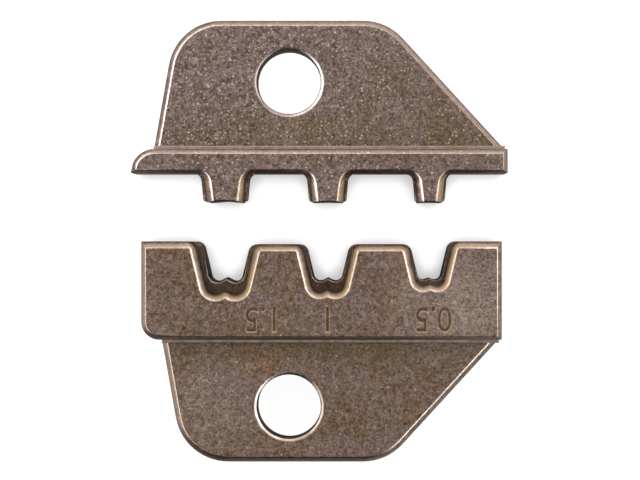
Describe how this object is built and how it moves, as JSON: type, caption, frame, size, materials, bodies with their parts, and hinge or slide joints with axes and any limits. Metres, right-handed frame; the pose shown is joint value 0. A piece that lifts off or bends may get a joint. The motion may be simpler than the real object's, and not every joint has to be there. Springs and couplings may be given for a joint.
{
  "type": "crimp die set",
  "caption": "Pair of steel crimp dies for a ratchet hand tool: an anvil half with prongs closes into a crimper half with stepped nests; each half has a tab with a screw hole.",
  "frame": {"origin": "middle of the pair's bounding box, in the plane on which the backs of both heads lie", "axes": "+Z from the back face towards the front face with the insulation nests, +X along the row of crimp stations from the largest to the smallest, +Y from the crimper half towards the anvil half, which closes along -Y"},
  "size_m": [0.0294, 0.0346, 0.01],
  "materials": {
    "crimper_steel": "hardened tool steel with a satin, brown-grey, slightly mottled surface",
    "anvil_steel": "hardened tool steel, bead-blasted brown-grey with fine bright sparkles"
  },
  "bodies": {
    "crimper_half": {"crimper_die": "crimper_steel"},
    "anvil_half": {"anvil_die": "anvil_steel"}
  },
  "joints": [
    {"name": "die_closing", "type": "slide", "parent": "crimper_half", "child": "anvil_half", "axis": [0, -1, 0], "range_m": [0, 0.0053]}
  ]
}
